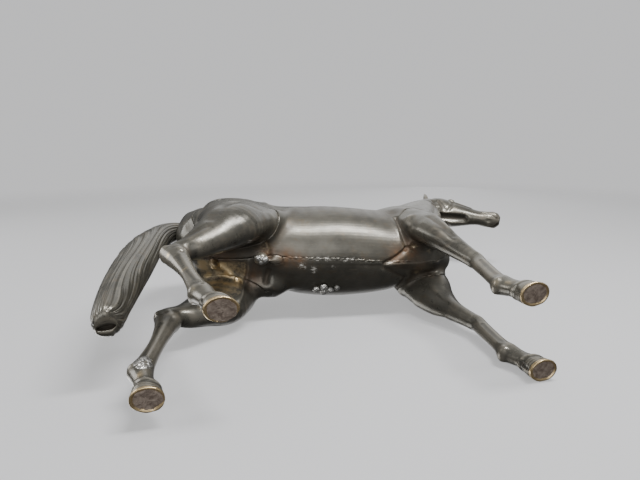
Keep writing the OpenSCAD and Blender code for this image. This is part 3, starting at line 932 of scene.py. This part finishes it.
def core_material():
    p = Paint("core_filler")
    grain, lumps = p.noise(900, 4, 0.7), p.noise(160, 4, 0.6, distortion=0.8)
    colour = p.mix(p.curve(lumps, 0.3, 0.7), (0.135, 0.100, 0.078), (0.32, 0.26, 0.215))
    colour = p.mix(p.curve(grain, 0.55, 0.75, 0, 0.6), colour, (0.42, 0.35, 0.30))
    pits = p.curve(p.spots(420), 0.1, 0.4)
    p.bump((lumps, 0.8, 0.0012), (grain, 0.7, 0.0005), (pits, 0.5, 0.0005))
    rough = p.blend(p.curve(grain, 0.3, 0.7), 0.62, 0.9)
    return p.finish(Base_Color=colour, Roughness=rough, Metallic=0.12)


def solder_material():
    p = Paint("solder")
    grain, lumps = p.noise(1100, 3, 0.6), p.noise(260, 3, 0.6)
    colour = p.mix(p.curve(lumps, 0.3, 0.7), (0.30, 0.29, 0.27), (0.66, 0.65, 0.62))
    colour = p.mix(p.curve(grain, 0.58, 0.72, 0, 0.7), colour, (0.12, 0.10, 0.085))
    p.bump((lumps, 0.6, 0.0006), (grain, 0.4, 0.0002))
    rough = p.blend(p.curve(grain, 0.3, 0.7), 0.26, 0.5)
    return p.finish(Base_Color=colour, Roughness=rough, Metallic=0.9)


def steel_material():
    p = Paint("pin_steel")
    brushed, blotch = p.noise(300, 3, 0.6, (1.0, 1.0, 14.0)), p.noise(70, 3, 0.6)
    colour = p.mix(p.curve(blotch, 0.35, 0.7), (0.34, 0.33, 0.32), (0.52, 0.51, 0.50))
    p.bump((brushed, 0.25, 0.0002))
    rough = p.blend(p.curve(brushed, 0.3, 0.7), 0.3, 0.46)
    return p.finish(Base_Color=colour, Roughness=rough, Metallic=1.0)


BRONZE = bronze_material("patinated_bronze", (0.070, 0.066, 0.055), (0.125, 0.118, 0.098),
                         (0.30, 0.275, 0.225), 0.27)
WORN = bronze_material("worn_bronze", (0.10, 0.068, 0.034), (0.24, 0.165, 0.080), (0.58, 0.43, 0.23), 0.30)
CORE, SOLDER, STEEL = core_material(), solder_material(), steel_material()


# ------------------------------ body, neck and head ------------------------------
SEAM_LINE = [(-130, -4), (-86, -9), (-48, -7), (12, -7), (29, -6), (64, -4), (103, -4), (151, 1)]


def seam_y(x, z):
    """Where the two halves of the body meet: it wanders a little under the belly."""
    below = np.interp(x, *zip(*SEAM_LINE)).astype(np.float32)
    return below * ramp(-z, -310, -260)


def make_body():
    forms = ["body", "neck", "tail", "hindleg_left", "hindleg_right", "foreleg_left", "foreleg_right",
             "sheath", "groin_boss"]
    clay, own = build_clay((-222, -88, 195), (206, 88, 422), BODY_VOXEL, forms, list(LEGS))
    across = clay.y - seam_y(clay.x, clay.z)
    body = np.maximum(clay.value, part_of(own, "body"))
    cut_piece(clay, np.maximum(body, -across), "body_left", ["body_shell_left"], BRONZE)
    cut_piece(clay, np.maximum(body, across), "body_right", ["body_shell_right"], BRONZE)
    for name, material, slot_name in (("sheath", BRONZE, "patinated_bronze"),
                                      ("groin_boss", WORN, "worn_bronze")):
        field = np.maximum(clay.value, part_of(own, name))
        cut_piece(clay, field, name + "_cast", [name], material)
    wander = 0.18 * np.sin(clay.x * 0.9) + 0.14 * np.sin(clay.x * 0.37 + 2)
    bead = bead_field(clay, across, 1.9, 0.2 + wander)
    belly = np.maximum(bead, np.maximum(clay.z - 262, -body - 40))
    belly = np.maximum(belly, np.maximum(-66 - clay.x, clay.x - 148))
    back = np.maximum(bead, np.maximum(345 - clay.z, np.maximum(-180 - clay.x, clay.x - 70)))
    on_body = part_of(own, "body") - 0.5
    cut_piece(clay, np.maximum(belly, on_body), "belly_seam", ["belly_seam_weld"], BRONZE)
    cut_piece(clay, np.maximum(back, on_body), "back_seam", ["back_seam_weld"], BRONZE)


def make_neck_and_head():
    clay, own = build_clay((70, -50, 262), (292, 52, 545), NECK_VOXEL,
                           ["body", "neck", "head", "foreleg_left", "foreleg_right"],
                           ["foreleg_left", "foreleg_right"])
    cut_piece(clay, np.maximum(clay.value, part_of(own, "neck")), "neck", ["neck_casting"], BRONZE)
    weld = bead_field(clay, own["neck"] - own["body"], 1.6, 0.2)
    weld = np.maximum(weld, np.maximum(own["neck"], own["body"]) - 4)
    cut_piece(clay, weld, "neck_bead", ["neck_weld"], BRONZE)
    clay, own = build_clay((232, -38, 398), (386, 42, 560), HEAD_VOXEL, ["neck", "head"])
    cut_piece(clay, np.maximum(clay.value, part_of(own, "head")), "head", ["head_casting"], BRONZE,
              fine=1.4, broad=4.5)
    weld = bead_field(clay, own["neck"] - own["head"], 1.2, 0.2)
    weld = np.maximum(weld, np.maximum(own["neck"], own["head"]) - 3)
    cut_piece(clay, weld, "head_bead", ["head_weld"], BRONZE, fine=1.4, broad=4.5)


EAR_AXIS = (0.232, 0.309, 0.923)
# share of the ear's length, half width, half thickness
EAR_SHAPE = [(0.0, 5.2, 4.2), (0.2, 6.4, 4.8), (0.42, 6.9, 4.6), (0.65, 5.6, 3.7), (0.84, 3.4, 2.3),
             (0.95, 1.8, 1.3), (1.0, 0.8, 0.7)]
EAR_LENGTH = 33.5
EAR_ROOT = (264, 13, 519)
EAR_TURN = -14
EAR_NARROWING = -0.25


def ear_rows(side, forward, shrink, start, stop):
    rows = []
    for share, width, depth in EAR_SHAPE:
        along = EAR_LENGTH * (start + share * (stop - start))
        x = EAR_ROOT[0] + EAR_AXIS[0] * along + forward
        y = HEAD_Y + side * (EAR_ROOT[1] + EAR_AXIS[1] * along)
        z = EAR_ROOT[2] + EAR_AXIS[2] * along
        rows.append([x, y, z, EAR_TURN, depth * shrink, depth * shrink, width * shrink, EAR_NARROWING])
    return rows


def make_ear(side, name):
    clay = Clay((252, -34 if side < 0 else 4, 508), (290, 0 if side < 0 else 38, 556), 0.45)
    outer = clay.solid(*loft(ear_rows(side, 0, 1, -0.05, 1), steps=8, sides=48))
    inner = clay.solid(*loft(ear_rows(side, 3.1, 0.84, 0.22, 0.97), steps=8, sides=48))
    clay.value = soft_cut(outer, inner, 0.8)
    clay.raise_by(0.16, np.sin(1.5 * clay.y + 0.8 * np.sin(clay.z * 0.3)) * ramp(-inner, -1.5, 0.5))
    cut_piece(clay, clay.value, name + "_cast", [name], BRONZE, fine=1.0, broad=2.5)


# ------------------------------ legs, hooves and tail ------------------------------
def carve_hoof(clay, sole, seed):
    """The rim of the sole, with the casting core showing a little way up inside it."""
    inner = np.hypot((clay.x - sole[0]) / (HOOF_HALF_LENGTH - 2.5),
                     (clay.y - sole[1]) / (HOOF_HALF_WIDTH - 2.4))
    inner = (inner - 1 + 0.02 * np.sin(5 * np.arctan2(clay.y - sole[1], clay.x - sole[0]) + seed)) * 11
    recess = np.maximum(inner, clay.z - 1.3)
    clay.value = soft_cut(clay.value, recess, 0.5).astype(np.float32)


def make_plug(name, sole, seed):
    """The rough core in a hoof: a disc with a lumpy face, a little inside the rim."""
    rings, sides = 26, 72
    angle = np.arange(sides) * 2 * math.pi / sides
    points = []
    for ring in range(rings):
        share = (ring + 0.5) / rings
        x = sole[0] + share * (HOOF_HALF_LENGTH - 2.1) * np.cos(angle)
        y = sole[1] + share * (HOOF_HALF_WIDTH - 2.0) * np.sin(angle)
        points.append(np.stack([x, y, np.full(sides, 0.75 + 0.35 * share**4)], 1))
    face = np.vstack(points)
    face[:, 2] += 0.2 * smooth_noise(face, 5, seed) + 0.12 * smooth_noise(face, 1.8, seed + 1)
    face[:, 2] = np.maximum(face[:, 2], 0.12)
    top = points[-1].copy()
    top[:, 2] = 6.0
    middle = np.array([[sole[0], sole[1], face[:sides, 2].mean()], [sole[0], sole[1], 6.0]])
    # the rings run outwards instead of along a tube, so the faces turn the other way
    faces = tube_faces(rings + 1, sides)[:, ::-1]
    mesh = make_mesh(name + "_filler", np.vstack([face, top, middle]), faces.tolist())
    return finish_piece(mesh, [name], CORE)


def make_leg(name, seed):
    rows = np.array(LEG_ROWS[name])
    low = [rows[:, 0].min() - 40, rows[:, 1].min() - 26, -3]
    high = [rows[:, 0].max() + 40, rows[:, 1].max() + 26, rows[0, 2] + 14]
    hind = name.startswith("hind")
    low[0] = min(low[0], (rows[:5, 0] - rows[:5, 5]).min() - 6)
    high[0] = max(high[0], (rows[:5, 0] + rows[:5, 4]).max() + 6)
    low[1] = min(low[1], (rows[:, 1] - rows[:, 6]).min() - 5)
    high[1] = max(high[1], (rows[:, 1] + rows[:, 6]).max() + 5)
    forms = ["body", name] + ([] if hind else ["neck"])
    clay, own = build_clay(low, high, LEG_VOXEL, forms, [name])
    sole = LEGS[name][3]
    carve_hoof(clay, sole, seed)
    cut_piece(clay, np.maximum(clay.value, part_of(own, name)), name + "_cast", [name], BRONZE)
    weld = bead_field(clay, own[name] - own["body"], 2.3, 0.22)
    weld = np.maximum(weld, np.maximum(own[name], own["body"]) - 4)
    cut_piece(clay, weld, name + "_bead", [name + "_weld"], BRONZE)
    make_plug(name + "_plug", sole, seed)
    if name == "hindleg_left":
        make_crust(clay)


CRUST_AT = (-227, 28, 49)


def make_crust(clay):
    """Crusty repair solder smeared over the left hind fetlock."""
    lumps = np.zeros(clay.shape, np.float32)
    maker = np.random.default_rng(4)
    for _ in range(9):
        way = maker.normal(size=3) * 0.75
        lumps += np.sin(clay.x * way[0] + clay.y * way[1] + clay.z * way[2] + 6 * maker.random())
    edge = clay.ball(CRUST_AT, (9.0, 9.5, 12.0)) + 0.9 * lumps
    skin = np.maximum(clay.value - 0.55 - 0.25 * lumps, -clay.value - 2.0)
    cut_piece(clay, np.maximum(skin, edge), "fetlock_crust", ["fetlock_solder"], SOLDER,
              fine=1.0, broad=2.5)


def make_tail():
    """Wavy locks that run down the tail and gather at its blunt end."""
    sections = smooth_rows(TAIL_ROWS, 36)
    sides = 320
    angle = np.arange(sides) * 2 * math.pi / sides
    along = np.linspace(0, 1, len(sections))[:, None]
    turn = angle[None, :]
    sway = 0.42 * np.sin(2 * math.pi * (0.95 * along + 0.05))
    sway = sway + 0.16 * np.sin(2 * math.pi * 2.1 * along + turn)
    lock = turn + sway + 0.13 * np.sin(3 * turn + 7 * along)
    locks = np.abs(np.sin(9.5 * lock + 0.9 * np.sin(2 * turn)))**0.6 - 0.62
    second = np.abs(np.sin(5 * (lock + 0.22 * along) + 1.3))**0.8 - 0.6
    strands = np.sin(52 * lock + 2.0 * np.sin(5 * along * math.pi) + 3 * np.sin(2 * turn))
    strength = ramp(along, 0.02, 0.16)
    gathered = 1 - 0.75 * ramp(along, 0.93, 1.0)
    grow = strength * gathered * (1.05 * locks + 0.55 * second + 0.13 * strands)
    grow = grow + ramp(along, 0.86, 0.97) * 0.4 * np.sin(5 * turn + 2)
    base = ring_points(sections, angle, 0.0)
    wide = ring_points(sections, angle, 1.0)
    points = base + (wide - base) * grow[..., None]
    # the end is cut aslant, longest at the back
    points[:, :, 2] += 0.32 * (points[:, :, 0] + 262) * ramp(along, 0.84, 1.0)
    # the blunt end is open: its lip turns in round a slot
    middle = points[-1].mean(0)
    lip = []
    for long, thick, down, up in ((0.95, 0.66, 1.0, -0.9), (0.88, 0.34, 3.0, -0.9), (0.82, 0.20, 4.2, 0.6),
                                  (0.78, 0.17, 4.4, 3.5), (0.70, 0.14, 4.4, 7.0)):
        ring = middle + (points[-1] - middle) * (long, thick, 0) + (0, down, 0)
        ring[:, 2] = points[-1, :, 2] + up
        lip.append(ring)
    points = np.concatenate([points, np.array(lip)])
    grow = np.concatenate([grow, np.repeat([[0.8], [0.8], [-1.5], [-4.0], [-4.0]], sides, axis=1)])
    ends = np.stack([points[0].mean(0), points[-1].mean(0)])
    solid = np.vstack([points.reshape(-1, 3), ends])
    relief = np.concatenate([grow.ravel(), [0, 0]])
    values = {"fine_relief": relief * 1.3, "broad_relief": relief * 0.4}
    values.update(patina_values(solid))
    finish_piece(make_mesh("tail", solid, tube_faces(len(points), sides).tolist(), values),
                 ["tail_casting"], BRONZE)
    clay, own = build_clay((-232, -30, 345), (-176, 30, 406), 0.8, ["body", "tail"])
    weld = bead_field(clay, own["tail"] - own["body"], 1.6, 0.5)
    weld = np.maximum(weld, np.maximum(own["tail"], own["body"]) - 3)
    cut_piece(clay, weld, "tail_bead", ["tail_weld"], BRONZE)


def make_solder(name, node, lumps, seed):
    """Old repair solder: a few silver lumps that have run together."""
    lumps = np.array(lumps, float)
    low = (lumps[:, :3] - lumps[:, 3:4]).min(0) - 2
    high = (lumps[:, :3] + lumps[:, 3:4]).max(0) + 2
    clay = Clay(low, high, 0.35)
    clay.value = None
    for x, y, z, radius, flat in lumps:
        lump = clay.ball((x, y, z), (radius, radius * 0.9, radius * flat))
        clay.value = lump if clay.value is None else soft_union(clay.value, lump, 1.2)
    wobble = np.sin(clay.x * 1.7 + seed) * np.sin(clay.y * 1.9 + 2 * seed) * np.sin(clay.z * 2.1 + 1)
    clay.raise_by(0.35, wobble)
    cut_piece(clay, clay.value, name, [node], SOLDER, fine=0.8, broad=2)


BODY_VOXEL, NECK_VOXEL, HEAD_VOXEL, LEG_VOXEL = ((1.3, 1.1, 0.6, 0.9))

make_body()
make_neck_and_head()
make_ear(LEFT, "ear_left")
make_ear(RIGHT, "ear_right")
for number, leg_name in enumerate(LEGS):
    make_leg(leg_name, 11 + 7 * number)
make_tail()
make_solder("sheath_lumps", "sheath_solder",
            [(-104, -12, 215.5, 4.2, 0.7), (-96, -10, 214.5, 4.6, 0.75), (-100, -6, 216, 3.4, 0.7)], 1)
make_solder("belly_lumps", "belly_solder",
            [(-24, 39, 224.0, 4.8, 0.6), (-14, 35, 221.8, 5.2, 0.7), (-4, 41, 225.0, 5.0, 0.65),
             (-13, 44, 227.0, 5.0, 0.65), (5, 37, 222.8, 4.0, 0.55)], 2)
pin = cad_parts["tail_pin"]
pin.data.materials.clear()
pin.data.materials.append(STEEL)


# ------------------------------ camera, lights and stage ------------------------------
CAMERA_AT = (-0.212, -0.2269, -0.379)
CAMERA_RIGHT = Vector((0.9755, -0.0504, -0.2143))
CAMERA_FORWARD = Vector((0.2194, 0.3018, 0.9278))
CAMERA_LENS = 27.65


def place_camera():
    """The statue lies on its left side; the camera looks along it from below its hooves."""
    forward = CAMERA_FORWARD.normalized()
    right = (CAMERA_RIGHT - forward * CAMERA_RIGHT.dot(forward)).normalized()
    up = right.cross(forward)
    turn = Matrix((right, up, -forward)).transposed().to_4x4()
    data = bpy.data.cameras.new("photo_camera")
    data.sensor_width = 36.0
    data.lens = CAMERA_LENS
    data.clip_start = 0.01
    data.clip_end = 30.0
    camera = bpy.data.objects.new("photo_camera", data)
    camera.matrix_world = Matrix.Translation(CAMERA_AT) @ turn
    bpy.context.scene.collection.objects.link(camera)
    bpy.context.scene.camera = camera


LIGHT_TARGET = Vector((0, 0, 0.27))


def soft_light(name, at, size, power):
    """A soft lamp that looks at the middle of the statue and isn't seen itself."""
    data = bpy.data.lights.new(name, "AREA")
    data.shape = "RECTANGLE"
    data.size, data.size_y = size
    data.energy = power
    light = bpy.data.objects.new(name, data)
    light.location = at
    light.rotation_euler = (LIGHT_TARGET - Vector(at)).to_track_quat("-Z", "Y").to_euler()
    light.visible_camera = False
    bpy.context.scene.collection.objects.link(light)


# The paper sheets glow by themselves: painted light that keeps them evenly bright far from the lamps
PAPER_PAINTED_GLOW = 0.42
PAPER = (0.30, 0.30, 0.31)


def sheet_material(name, colour, reach):
    """Pale paper that glows with painted light so it looks evenly lit, seen from its front only, fading
    out at the edge of the sheet.
    """
    p = Paint(name)
    p.bump((p.noise(220, 3, 0.6), 0.08, 0.0003))
    shade = p.mix(p.noise(3, 2, 0.5), colour, tuple(0.96 * c for c in colour))
    # painted glow: a white emission stands in for lamp light on the paper
    p.finish(Base_Color=shade, Roughness=0.85, Emission_Color=(1.0, 1.0, 1.0, 1.0),
             Emission_Strength=PAPER_PAINTED_GLOW)
    away = p.node("ShaderNodeVectorMath", operation="LENGTH")
    p.plug(p.place, away.inputs[0])
    fade = p.curve(away.outputs["Value"], reach * 0.6, reach)
    back = p.node("ShaderNodeNewGeometry").outputs["Backfacing"]
    clear = p.node("ShaderNodeBsdfTransparent")
    join = p.node("ShaderNodeMixShader")
    p.plug(p.math("MAXIMUM", fade, back), join.inputs[0])
    p.plug(p.shader.outputs[0], join.inputs[1])
    p.plug(clear.outputs[0], join.inputs[2])
    p.plug(join.outputs[0], p.tree.nodes["Material Output"].inputs["Surface"])
    return p.material


def add_sheet(name, at, normal, half, material):
    """A wide sheet facing its normal, finely enough divided to be a real surface."""
    steps = np.linspace(-half, half, 25)
    u, v = np.meshgrid(steps, steps, indexing="ij")
    points = np.stack([u.ravel(), v.ravel(), np.zeros(u.size)], 1)
    i, j = np.meshgrid(np.arange(24), np.arange(24), indexing="ij")
    a = (i * 25 + j).ravel()
    faces = np.stack([a, a + 25, a + 26, a + 1], 1)
    mesh = bpy.data.meshes.new(name)
    mesh.from_pydata(points.tolist(), [], faces.tolist())
    mesh.materials.append(material)
    sheet = bpy.data.objects.new(name, mesh)
    sheet.location = at
    sheet.rotation_euler = Vector(normal).to_track_quat("Z", "Y").to_euler()
    bpy.context.scene.collection.objects.link(sheet)
    return sheet


# The table that the statue lies on: its upward direction, and its distance from the origin
TABLE_NORMAL = Vector((-0.0287, -0.9942, 0.1035))
TABLE_REACH = -0.0588
# Soft lamps: name, place, width and height, power
LAMPS = [
    ("ceiling", (0.21, -1.17, 0.07), (0.80, 0.22), 26),
    ("backdrop", (0.40, -0.63, 1.53), (1.9, 1.2), 6.5),
    ("side", (-1.3, -0.25, 0.75), (0.6, 0.7), 6),
    ("front", (-0.5, -0.7, -1.1), (1.3, 1.1), 11),
    ("far_side", (-0.95, 1.1, 0.9), (1.0, 0.9), 9),
    ("left_side", (0.5, 1.2, 1.3), (1.2, 1.0), 2.5),
]


def set_stage():
    """The pale table and ground, a plain studio sky that is darker on the table's side, and the lamps."""
    world = bpy.data.worlds.new("studio")
    bpy.context.scene.world = world
    world.use_nodes = True
    nodes, links = world.node_tree.nodes, world.node_tree.links
    seen, lit = nodes["Background"], nodes.new("ShaderNodeBackground")
    seen.inputs["Color"].default_value = (0.72, 0.72, 0.73, 1)
    lit.inputs["Strength"].default_value = 1.0
    way = nodes.new("ShaderNodeTexCoord")
    lean = nodes.new("ShaderNodeVectorMath")
    lean.operation = "DOT_PRODUCT"
    lean.inputs[1].default_value = TABLE_NORMAL
    links.new(way.outputs["Generated"], lean.inputs[0])
    sky = nodes.new("ShaderNodeValToRGB")
    sky.color_ramp.elements[0].position = 0.0
    sky.color_ramp.elements[0].color = (0.09, 0.09, 0.092, 1)
    sky.color_ramp.elements[1].position = 0.35
    sky.color_ramp.elements[1].color = (0.30, 0.305, 0.31, 1)
    links.new(lean.outputs["Value"], sky.inputs["Fac"])
    links.new(sky.outputs["Color"], lit.inputs["Color"])
    join = nodes.new("ShaderNodeMixShader")
    links.new(nodes.new("ShaderNodeLightPath").outputs["Is Camera Ray"], join.inputs[0])
    links.new(lit.outputs[0], join.inputs[1])
    links.new(seen.outputs[0], join.inputs[2])
    links.new(join.outputs[0], nodes["World Output"].inputs["Surface"])
    table = add_sheet("table", TABLE_NORMAL * TABLE_REACH, TABLE_NORMAL, 2.6,
                      sheet_material("table_paper", PAPER, 2.4))
    ground = add_sheet("ground", (0, 0, 0), (0, 0, 1), 3.0, sheet_material("ground_paper", PAPER, 2.8))
    for sheet in (table, ground):
        sheet.visible_shadow = False
        sheet.visible_glossy = False
        sheet.visible_diffuse = False
    for lamp in LAMPS:
        soft_light(*lamp)


place_camera()
set_stage()
